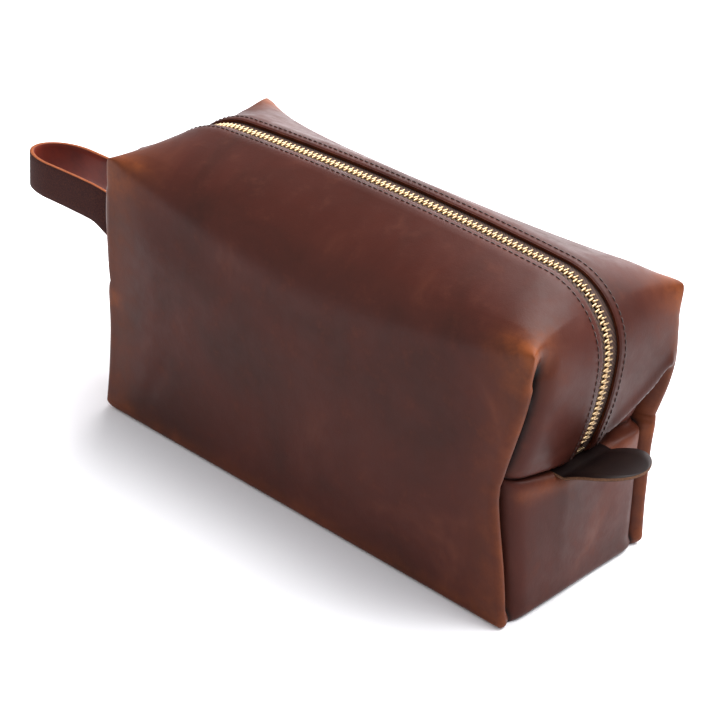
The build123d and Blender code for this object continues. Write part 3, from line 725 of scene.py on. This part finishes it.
    def grid(self) -> tuple[np.ndarray, list[int]]:
        """The strip's points, shape (rows round, rows across, 3), and the runs' starts."""
        y = self.rows()[None, :]
        x, z, starts = self.outline(y)
        rim = slice(0, None, len(y[0]) - 1)
        tangent_x = np.roll(x[:-1], -1, 0) - np.roll(x[:-1], 1, 0)
        tangent_z = np.roll(z[:-1], -1, 0) - np.roll(z[:-1], 1, 0)
        for _ in range(6):
            tangent_x = (np.roll(tangent_x, 1, 0) + tangent_x + np.roll(tangent_x, -1, 0)) / 3
            tangent_z = (np.roll(tangent_z, 1, 0) + tangent_z + np.roll(tangent_z, -1, 0)) / 3
        size = np.hypot(tangent_x, tangent_z)
        normal_x = np.concatenate([-tangent_z / size, (-tangent_z / size)[:1]])
        normal_z = np.concatenate([tangent_x / size, (tangent_x / size)[:1]])
        radius = self.rim_radius(z[:, rim], starts)[:, None]
        near = np.clip((np.abs(y) - (self.half_width - radius)) / np.maximum(radius, 1e-6), 0, 1)
        shift = radius * (1 - np.sqrt(1 - near ** 2)) * (radius > 0)
        x, z = x + normal_x * shift, z + normal_z * shift
        z = np.maximum(z, 0.0)
        lift = -0.55 * bell(np.abs(y) - self.slot, 0.45) * (np.abs(y) >= self.slot - 0.01)
        slot_run = np.zeros(len(x))
        slot_run[starts[4]:starts[7] + 1] = 1
        x, z = x - normal_x * lift * slot_run[:, None], z - normal_z * lift * slot_run[:, None]
        return np.stack([x, np.broadcast_to(y, x.shape), z], axis=2), starts

    def wear(self, points: np.ndarray) -> np.ndarray:
        """How worn and pale the leather is at points (..., 3): rims of the ends, lips and ears."""
        x, y, z = np.abs(points[..., 0]), np.abs(points[..., 1]), points[..., 2]
        seam = np.where(points[..., 0] > 0, self.path.seam_tab, self.path.seam_handle)
        at_end = step(-34.0, -4.0, x - self.half_length)
        rim = bell(self.half_width - 3.0 - y, 3.6) * at_end
        lip = bell(z - seam + 3.0, 4.5) * step(-14.0, -6.0, x - self.half_length)
        far = (x - self.half_length) ** 2 + (y - self.half_width) ** 2 + (z - self.ear) ** 2
        ear = bell(np.sqrt(far), 17.0)
        foot = bell(z - 3.0, 5.0) * bell(self.half_width - y, 5.0)
        return np.clip(0.42 * rim + 0.34 * lip + 0.5 * ear + 0.2 * foot, 0, 1)

    def crease(self, points: np.ndarray, starts: list[int]) -> np.ndarray:
        """How deep in a seam the strip's points are, as painted shade: the corner valleys and the notches of
        the end seams are darkened in colour where shade falls.
        """
        y, z = points[..., 1], points[..., 2]
        # painted shade centred near the corner valley line
        across = self.half_width - self.valley_inset - np.abs(y)
        across = np.where(across > 0, np.maximum(0, across - 1.0 * step(60.0, 80.0, z)), across)
        fade = step(0.0, 9.0, np.where(y < 0, self.ear - 3, 96.0) - z)
        on_end = np.zeros(len(points))
        on_end[starts[1]:starts[5]] = 1
        on_end[starts[6]:] = 1
        # painted shade along the corner valleys of the ends
        valley = bell(across, 1.1) * fade * on_end[:, None]
        row = np.arange(len(points))
        # painted shade in the notches of the end seams
        notch = np.maximum(bell(row - starts[4], 1.8), bell(row - starts[7], 1.8))[:, None]
        inside = step(self.half_width - self.valley_inset + 2.5, self.half_width - self.valley_inset, np.abs(y))
        return np.clip(valley + 0.8 * notch * inside * self.seam_depth(End.TAB, y), 0, 1)

    def side_panel(self, side: Side, grid: np.ndarray, starts: list[int]) -> tuple[np.ndarray, np.ndarray]:
        """A long side panel: a Coons patch between its four edges, then swollen a little.

        Every point is the sum of the two straight mixes of opposite edges, less the straight mix of
        the four corners.

        Args:
            side: Which long side.
            grid: The strip's points.
            starts: Starts of the strip's runs.

        Returns:
            Points (n, 3) and faces.
        """
        ring = grid[:, 0 if side is Side.FRONT else -1]
        foot_tab, ear_tab, ear_handle = starts[1], starts[5], starts[6]
        bottom = ring[0:foot_tab + 1]
        right = ring[foot_tab:ear_tab + 1]
        top = ring[ear_tab:ear_handle + 1][::-1]
        left = ring[ear_handle:][::-1]
        s = np.linspace(0, 1, len(bottom))[None, :, None]
        heights = (left[:, 2] + right[:, 2]) / 2
        t = ((heights - heights[0]) / (heights[-1] - heights[0]))[:, None, None]
        patch = (1 - t) * bottom[None] + t * top[None] + (1 - s) * left[:, None] + s * right[:, None]
        patch = patch - (1 - s) * (1 - t) * bottom[0] - s * (1 - t) * bottom[-1]
        patch = patch - (1 - s) * t * top[0] - s * t * top[-1]
        x, z = patch[..., 0], patch[..., 2]
        inside = step(0.0, 34.0, z - z[:1]) * step(0.0, 34.0, z[-1:] - z)
        inside = inside * step(0.0, 34.0, x - x[:, :1]) * step(0.0, 34.0, x[:, -1:] - x)
        ripple = 0.9 * np.sin(x / 31 + z / 47 + side.value) * np.sin(z / 26 - x / 90)
        # shape only: a shallow dent pressed into the front panel, no colour
        crease = 1.1 * bell((x + 104 - 0.55 * (z - 6)), 5.0) * step(60, 10, z) if side is Side.FRONT else 0.0
        patch[..., 1] += side.value * (1.6 + ripple - crease) * inside
        flip = side is Side.BACK
        return patch.reshape(-1, 3), grid_faces(*patch.shape[:2], flip=not flip)

    def fold(self, points: np.ndarray) -> np.ndarray:
        """Tucks the tab end's back part in below a slanting fold, between the seam and the rim."""
        x, y, z = points[..., 0], points[..., 1], points[..., 2]
        line = z - (self.fold_z + self.fold_slope * (y - self.fold_y))
        below = step(2.0, -1.2, line) * step(0.3, 1.8, z - self.path.seam_tab - 0.5)
        within = step(12.0, 17.0, y) * step(self.half_width - 3.5, self.half_width - 7.0, y)
        within = within * (x > self.half_length - self.fold_room)
        puff = self.fold_puff * bell(line - 4.5, 4.0) * within
        moved = points.copy()
        moved[..., 0] = x - self.fold_depth * below * within + puff
        return moved

    def hem(self, grid: np.ndarray, starts: list[int], side: Side) -> tuple[np.ndarray, np.ndarray]:
        """The slot's cut edge and a strip of the leather's underside, along one side of the zip."""
        rows = self.rows()
        column = int(np.argmin(np.abs(rows - side.value * self.slot)))
        first, last = starts[4], starts[7]
        edge = grid[first:last + 1, column]
        tangent = np.gradient(edge, axis=0)
        size = np.hypot(tangent[:, 0], tangent[:, 2])[:, None]
        inward = np.stack([-tangent[:, 2], 0 * tangent[:, 0], tangent[:, 0]], axis=1) / size
        across = np.array([0.0, side.value, 0.0])
        layers = [edge, edge + 0.7 * inward, edge + 1.4 * inward + 0.1 * across,
                  edge + 1.5 * inward + 2.5 * across]
        return np.concatenate(layers), grid_faces(4, len(edge), flip=side is Side.FRONT)

    def soften(self, mesh: bpy.types.Mesh) -> None:
        """Rounds the four top corners and the brow between the top and the long sides, and lifts one ear.

        The lift falls off as a Gaussian bell round the handle end's back ear.
        """
        corner = Vector((self.half_length, self.half_width, self.ear)) * MM
        raised = Vector((-self.half_length, self.half_width, self.ear)) * MM
        with edited(mesh) as work:
            near = [v for v in work.verts
                    if (Vector((abs(v.co.x), abs(v.co.y), v.co.z)) - corner).length < self.ear_reach * MM]
            relax(work, near, self.ear_rounds)
            brow = [v for v in work.verts if abs(abs(v.co.y) - self.half_width * MM) < self.brow_reach * MM
                    and v.co.z > self.brow_foot * MM and abs(v.co.x) < self.brow_end * MM]
            relax(work, brow, self.brow_rounds)
            for vertex in work.verts:
                far = (vertex.co - raised).length / (self.lift_reach * MM)
                vertex.co.z += self.lift * MM * math.exp(-far ** 2)

    def build(self) -> bpy.types.Object:
        """Makes the whole skin as one object that stands for the CAD body."""
        grid, starts = self.grid()
        grid = self.fold(grid)
        rows = self.rows()
        faces = grid_faces(len(grid), len(rows), flip=False)
        round_row, column = (faces.min(1) // len(rows)), (faces.min(1) % len(rows))
        in_slot = (np.abs(rows[column] + rows[column + 1]) / 2 < self.slot)
        in_slot &= (round_row >= starts[4]) & (round_row < starts[7])
        skin = Skin()
        flat = grid.reshape(-1, 3)
        # the strip carries the painted seam shade; the side panels and hems get none
        skin.add(flat, faces[~in_slot][:, ::-1], wear=self.wear(flat), crease=self.crease(grid, starts))
        for side in Side:
            points, quads = self.side_panel(side, grid, starts)
            skin.add(points, quads, wear=self.wear(points), crease=0 * points[:, 0])
            points, quads = self.hem(grid, starts, side)
            skin.add(points, quads, wear=0.25 + 0 * points[:, 0], crease=0 * points[:, 0])
        piece = skin.build("leather_skin", self.material)
        self.soften(piece.data)
        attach(piece, "bag")
        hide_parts("leather_body")
        return piece


# --- strips: handle and tab -----------------------------------------------------------------------------


def strip_section(half_width: np.ndarray, half_thick: float, soft: float = 0.35) -> tuple[np.ndarray, ...]:
    """Cross-section of a strip: two faces and two softened edges, anticlockwise.

    Args:
        half_width: Half widths, shape (n, 1).
        half_thick: Half the leather's thickness.
        soft: Size of the softened corners.

    Returns:
        Places across (n, m), places through the thickness (1, m) and layer values (1, m).
    """
    face = np.linspace(1, -1, 7)[None, :]
    inner = np.maximum(half_width - soft, half_width * 0.6)
    high, low = half_thick, half_thick - soft
    across = np.concatenate([inner * face, -half_width, -half_width,
                             -inner * face, half_width, half_width], axis=1)
    through = np.concatenate([0 * face[0] + high, [low, -low], 0 * face[0] - high, [-low, low]])[None, :]
    layer = np.concatenate([0 * face[0], [0.9, 1.1], 0 * face[0] + 2, [1.1, 0.9]])[None, :]
    return across, through, layer


def sweep(skin: Skin, centre: np.ndarray, wide: np.ndarray, thick: np.ndarray,
          section: tuple[np.ndarray, ...]) -> None:
    """Carries a cross-section along stations and closes both ends.

    A point is the station's centre plus its place across times the unit vector across, plus its
    place through the thickness times the unit vector through.

    Args:
        skin: Skin to add to.
        centre: Stations (n, 3).
        wide: Unit vectors across the strip (n, 3).
        thick: Unit vectors through it (n, 3).
        section: Output of strip_section.
    """
    across, through, layer = section
    count, points = len(centre), through.shape[1]
    across = np.broadcast_to(across, (count, points))
    ring = centre[:, None] + across[..., None] * wide[:, None] + through[..., None] * thick[:, None]
    ring = np.concatenate([ring, ring[:, :1]], axis=1)
    value = np.broadcast_to(np.append(layer, layer[0, 0]), (count, points + 1))
    skin.add(ring.reshape(-1, 3), grid_faces(count, points + 1), layer=value)
    for station, flip in ((0, False), (count - 1, True)):
        rim = ring[station, :-1]
        order = np.arange(points)
        order = order[::-1] if flip else order
        quads = np.stack([order[:points // 2 - 1], order[1:points // 2],
                          order[::-1][1:points // 2], order[::-1][:points // 2 - 1]], axis=1)
        skin.add(rim, quads, layer=np.full(points, 1.0))


@dataclass
class StrapHandle:
    """A strip of strap leather, sewn in flat at both ends and standing on edge round its loop."""

    path: ZipPath
    material: bpy.types.Material
    width: float = 19.0
    thick: float = 2.2
    gap: float = 1.0
    hinge_out: float = 5.2
    reach: float = 115.5
    spread: float = 14.4
    climb: float = 16.0
    sag: float = 2.0
    twist: float = 85.0
    loop_start: float = 0.78
    twist_end: float = 0.48
    straight: float = 0.72
    stations: int = 150

    def build(self) -> bpy.types.Object:
        """Stations share the CAD strap's line; the twist goes from flat to upright by a smooth step."""
        seam_x, seam_z = self.path.seam(End.HANDLE)
        hinge_x = seam_x - self.hinge_out
        turn = np.linspace(0, 2, self.stations)
        t = np.where(turn <= 1, turn, 2 - turn)
        side = np.where(turn <= 1, -1.0, 1.0)
        bend = np.radians(90 * np.clip((t - self.straight) / (1 - self.straight), 0, 1))
        loop = t >= self.straight
        out = np.where(loop, self.loop_start + (1 - self.loop_start) * np.sin(bend),
                       self.loop_start * t / self.straight)
        root = (self.width + self.gap) / 2
        spread = np.where(loop, self.spread * np.cos(bend),
                          mix(root, self.spread, step(0, 1, out / self.twist_end)))
        droop = np.maximum(0, (out - self.twist_end) / (1 - self.twist_end))
        z = seam_z + self.climb * step(0, 1, 2 * out) - self.sag * droop ** 2
        angle = np.radians(self.twist * step(0, 1, out / self.twist_end) + (90 - self.twist) * droop)
        centre = np.stack([hinge_x - self.reach * out, side * spread, z], axis=1)
        wide = np.stack([0 * angle, -side * np.cos(angle), np.sin(angle)], axis=1)
        lead = np.array([[8.0, 0, 0], [5.0, 0, 0], [2.0, 0, 0]]) + [hinge_x + self.hinge_out - 5.0, 0, seam_z]
        front = lead + [0, -root, 0]
        back = (lead + [0, root, 0])[::-1]
        centre = np.concatenate([front, centre, back])
        wide = np.concatenate([np.repeat(wide[:1], 3, 0), wide, np.repeat(wide[-1:], 3, 0)])
        onward = np.gradient(centre, axis=0)
        onward /= np.linalg.norm(onward, axis=1)[:, None]
        wide -= onward * np.sum(wide * onward, axis=1)[:, None]
        wide /= np.linalg.norm(wide, axis=1)[:, None]
        thick = np.cross(onward, wide)
        skin = Skin()
        half = np.full((len(centre), 1), self.width / 2)
        sweep(skin, centre, wide, thick, strip_section(half, self.thick / 2))
        piece = skin.build("strap_handle", self.material, closed=True)
        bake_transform(piece)
        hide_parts("handle_strap", "handle_root_front", "handle_root_back")
        return piece


@dataclass
class GrabTab:
    """A rounded tab of dark leather, sewn in at its root, that rises and levels off."""

    path: ZipPath
    material: bpy.types.Material
    width: float = 35.0
    reach: float = 28.2
    thick: float = 1.7
    hinge_out: float = 5.2
    climb: float = 32.0
    level: float = 4.0
    sunk: float = 6.0

    def build(self) -> bpy.types.Object:
        """The centre line is an arc of falling slope; the width closes as a half circle at the tip."""
        seam_x, seam_z = self.path.seam(End.TAB)
        hinge_x = seam_x + self.hinge_out
        half = self.width / 2
        straight = np.linspace(-self.sunk - self.hinge_out, 0, 8)[:-1]
        run = np.linspace(0, self.reach - half, 9)[:-1]
        tip = self.reach - half + half * np.sin(np.radians(np.linspace(0, 89, 26)))
        along = np.concatenate([straight, run, tip])
        width = half * np.sqrt(np.clip(1 - (np.maximum(0, along - self.reach + half) / half) ** 2, 0, 1))
        climb, level = math.radians(self.climb), math.radians(self.level)
        radius = self.reach / (math.sin(climb) - math.sin(level))
        rise = np.maximum(along, 0)
        angle = np.arcsin(np.clip(math.sin(climb) - rise / radius, -1, 1))
        z = seam_z + radius * (np.cos(angle) - math.cos(climb))
        centre = np.stack([hinge_x + along, 0 * along, z], axis=1)
        slope = np.where(along < 0, climb * step(-5, 0, along), angle)
        thick = np.stack([-np.sin(slope), 0 * slope, np.cos(slope)], axis=1)
        wide = np.repeat([[0.0, 1.0, 0.0]], len(along), 0)
        skin = Skin()
        sweep(skin, centre, wide, thick, strip_section(width[:, None], self.thick / 2))
        piece = skin.build("grab_tab", self.material, closed=True)
        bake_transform(piece)
        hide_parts("end_tab", "end_tab_root")
        return piece


# --- zip and threads --------------------------------------------------------------------------------------


@dataclass
class Stitching:
    """Two rows of separate stitches beside the zip."""

    path: ZipPath
    material: bpy.types.Material
    row: float = 9.5
    pitch: float = 3.2
    length: float = 2.7
    radius: float = 0.34

    def build(self) -> list[bpy.types.Object]:
        """Each stitch is a thread whose radius and height swell as half a sine along its length."""
        pieces = []
        count = int((self.path.length - 2 * self.pitch) / self.pitch)
        begin = (self.path.length - (count - 1) * self.pitch) / 2
        middle = begin + self.pitch * np.arange(count)
        t = np.linspace(0, 1, 7)
        angle = np.linspace(0, math.tau, 7)
        for side in Side:
            skin = Skin()
            distance = (middle[:, None] + (t - 0.5) * self.length).ravel()
            centre, _, outward = self.path.frames(distance, 0.0)
            swell = np.tile(np.sin(math.pi * np.clip(t, 0.02, 0.98)) ** 0.5, count)
            centre = centre + outward * (0.28 * swell - 0.12)[:, None] + [0, side.value * self.row, 0]
            across = np.cos(angle)[None, :, None] * np.array([0.0, 1.0, 0.0])
            upward = np.sin(angle)[None, :, None] * outward[:, None]
            ring = centre[:, None] + self.radius * swell[:, None, None] * (across + upward)
            skin.add(ring.reshape(-1, 3), repeated_tubes(count, len(t), len(angle)))
            piece = skin.build(f"topstitch_thread_{side.name.lower()}", self.material, closed=True)
            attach(piece, "bag")
            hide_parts(f"topstitch_{side.name.lower()}")
            pieces.append(piece)
        return pieces


@dataclass
class ZipTeeth:
    """Two rows of cast teeth whose heads interlock."""

    path: ZipPath
    material: bpy.types.Material
    pitch: float = 2.8
    first: float = 24.65
    last_gap: float = 6.4
    depth: float = 2.55

    def build(self) -> list[bpy.types.Object]:
        """Each tooth is a lofted bar: superellipse sections from its head to its heel."""
        pieces = []
        y = np.array([-1.02, -0.95, -0.45, 0.4, 1.3, 2.2, 2.85, 2.95])
        thick = np.array([0.15, 0.34, 0.52, 0.55, 0.46, 0.50, 0.42, 0.20])
        high = np.array([0.35, 0.80, 1.22, 1.30, 1.12, 1.25, 1.05, 0.55])
        angle = np.linspace(0, math.tau, 11)
        power = 0.62
        cos_a = np.sign(np.cos(angle)) * np.abs(np.cos(angle)) ** power
        sin_a = np.sign(np.sin(angle)) * np.abs(np.sin(angle)) ** power
        for side in Side:
            start = self.first + (self.pitch / 2 if side is Side.BACK else 0.0)
            count = int((self.path.length - self.last_gap - start) / self.pitch)
            middle = start + self.pitch * np.arange(count)
            centre, onward, outward = self.path.frames(middle, -self.depth)
            slant = 0.10 * (y - 1.0)
            local_x = thick[:, None] * cos_a[None] + slant[:, None]
            local_z = high[:, None] * sin_a[None]
            local_y = side.value * np.broadcast_to(y[:, None], local_x.shape)
            points = (centre[:, None, None] + local_x[None, ..., None] * onward[:, None, None]
                      + local_z[None, ..., None] * outward[:, None, None]
                      + local_y[None, ..., None] * np.array([0.0, 1.0, 0.0]))
            skin = Skin()
            skin.add(points.reshape(-1, 3), repeated_tubes(count, len(y), len(angle)))
            piece = skin.build(f"brass_teeth_{side.name.lower()}", self.material, closed=True)
            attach(piece, "bag")
            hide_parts(f"zip_teeth_{side.name.lower()}")
            pieces.append(piece)
        return pieces


@dataclass
class ZipHardware:
    """Slider, crown, puller and stops: the CAD shapes with softened edges."""

    material: bpy.types.Material
    nodes: dict
    softness: float = 0.18
    flat_angle: float = math.radians(2)
    corner_angle: float = math.radians(35)
    bodies: dict = field(default_factory=lambda: {
        "slider_body": "slider", "slider_crown": "slider", "zip_puller": "puller",
        "zip_top_stops": "bag", "zip_bottom_stop": "bag",
    })

    def build(self) -> list[bpy.types.Object]:
        """Merged copies of the CAD meshes with a small bevel on their corners."""
        pieces = []
        for node, body in self.bodies.items():
            mesh = self.nodes[node].data.copy()
            mesh.name = f"cast_{node}"
            with edited(mesh) as work:
                weld_points(work)
                bmesh.ops.dissolve_limit(work, angle_limit=self.flat_angle, verts=work.verts, edges=work.edges)
            mesh.materials.clear()
            mesh.materials.append(self.material)
            piece = bpy.data.objects.new(f"cast_{node}", mesh)
            bpy.context.scene.collection.objects.link(piece)
            bevel = piece.modifiers.new("softened", "BEVEL")
            bevel.width = self.softness * MM
            bevel.segments = 2
            bevel.limit_method = "ANGLE"
            bevel.angle_limit = self.corner_angle
            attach(piece, body)
            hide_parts(node)
            LOG.info("%s: softened copy on %s", piece.name, body)
            pieces.append(piece)
        return pieces


# --- room ---------------------------------------------------------------------------------------------------


@dataclass
class Studio:
    """Pale floor, soft lights and the camera."""

    azimuth: float = 40.13
    elevation: float = 29.1
    roll: float = 4.41
    distance: float = 977.02
    aside: float = 2.22
    above: float = -53.7
    lens: float = 101.54

    def directions(self) -> tuple[Vector, Vector, Vector]:
        """Unit vectors to the camera's right, up and back."""
        a, e, r = (math.radians(v) for v in (self.azimuth, self.elevation, self.roll))
        back = Vector((math.sin(a) * math.cos(e), -math.cos(a) * math.cos(e), math.sin(e)))
        right = Vector((math.cos(a), math.sin(a), 0))
        up = back.cross(right)
        return (right * math.cos(r) + up * math.sin(r), up * math.cos(r) - right * math.sin(r), back)

    def camera(self) -> bpy.types.Object:
        """Places the camera at the studio's viewing angle."""
        right, up, back = self.directions()
        data = bpy.data.cameras.new("studio_camera")
        data.lens, data.sensor_width = self.lens, 36.0
        data.clip_start, data.clip_end = 0.01, 20.0
        camera = bpy.data.objects.new("studio_camera", data)
        place = (back * self.distance - right * self.aside - up * self.above) * MM
        turn = Matrix((right, up, back)).transposed().to_4x4()
        camera.matrix_world = Matrix.Translation(place) @ turn
        bpy.context.scene.collection.objects.link(camera)
        bpy.context.scene.camera = camera
        return camera

    def light(self, name: str, place: tuple, aim: tuple, size: tuple, power: float, colour: str) -> None:
        """A rectangular area light at a place, aimed at a point; metres and watts."""
        data = bpy.data.lights.new(name, "AREA")
        data.shape = "RECTANGLE"
        data.size, data.size_y = size
        data.energy = power
        data.color = linear(colour)[:3]
        lamp = bpy.data.objects.new(name, data)
        lamp.location = place
        lamp.rotation_mode = "QUATERNION"
        lamp.rotation_quaternion = (Vector(aim) - Vector(place)).to_track_quat("-Z", "Y")
        bpy.context.scene.collection.objects.link(lamp)

    def build(self) -> None:
        """Floor, world, lights and camera."""
        material, _, shader = new_material("white_studio_floor")
        shader.inputs["Base Color"].default_value = (0.93, 0.93, 0.95, 1.0)
        shader.inputs["Roughness"].default_value = 0.9
        mesh = bpy.data.meshes.new("studio_floor")
        corners = [(-4, -4, 0), (4, -4, 0), (4, 4, 0), (-4, 4, 0)]
        mesh.from_pydata(corners, [], [(0, 1, 2, 3)])
        mesh.materials.append(material)
        floor = bpy.data.objects.new("studio_floor", mesh)
        bpy.context.scene.collection.objects.link(floor)
        world = bpy.data.worlds.new("white_studio")
        world.use_nodes = True
        background = world.node_tree.nodes["Background"]
        background.inputs["Color"].default_value = (0.96, 0.97, 1.0, 1.0)
        background.inputs["Strength"].default_value = 0.68
        bpy.context.scene.world = world
        bpy.context.scene.view_settings.view_transform = "Standard"
        self.light("overhead_softbox", (0.2, 0.6, 1.2), (0, 0, 0.08), (1.6, 1.1), 44.0, "#ffffff")
        self.light("back_softbox", (-0.5, 1.7, 0.55), (0, 0, 0.1), (2.2, 0.9), 24.0, "#fff4f6")
        self.light("front_left_softbox", (-1.0, -1.2, 0.9), (0, 0, 0.05), (1.4, 1.4), 4.0, "#fff6ec")
        self.light("right_softbox", (1.4, -0.2, 0.7), (0.1, 0, 0.07), (0.9, 0.9), 2.0, "#f4f2ff")
        self.camera()


# --- assembly -----------------------------------------------------------------------------------------------


def numbers(box: tuple) -> list[list[float]]:
    """A box's two corners as plain lists."""
    return [[float(v) for v in corner] for corner in box]


def main() -> None:
    """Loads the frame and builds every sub-assembly in order."""
    logging.basicConfig(level=logging.INFO, format="%(name)s %(message)s")
    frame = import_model()
    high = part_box("leather_body")[1]
    turn = next(j for j in frame["joints"] if j["name"] == "slider_run")["pos_m"]
    path = ZipPath(half_length=127.0, crown=round(high.z / MM, 1), turn_x=turn[0] / MM)
    leather = PullUpLeather().make()
    brass = PolishedBrass().make()
    thread = WaxedThread().make()
    tape = WovenTape().make()
    strap = StrapLeather("strap_leather", grain="#6a2619", flesh="#2c1414", edge="#94502c").make()
    tab = StrapLeather("dark_tab_leather", grain="#130908", flesh="#1d0f0c", edge="#6a4a36").make()
    LeatherBody(path, leather, half_length=127.0, half_width=high.y / MM).build()
    StrapHandle(path, strap).build()
    GrabTab(path, tab).build()
    Stitching(path, thread).build()
    ZipTeeth(path, brass).build()
    ZipHardware(brass, frame["nodes"]).build()
    for name in ("zip_tape_front", "zip_tape_back"):
        dress(frame["nodes"][name], tape)
    for name in ("end_seam_thread_tab", "end_seam_thread_handle"):
        dress(frame["nodes"][name], thread)
    Studio().build()


def dress(node: bpy.types.Object, material: bpy.types.Material) -> None:
    """Gives a CAD node a new material."""
    node.data.materials.clear()
    node.data.materials.append(material)
    LOG.info("%s: %s", node.name, material.name)


if __name__ == "__main__":
    main()
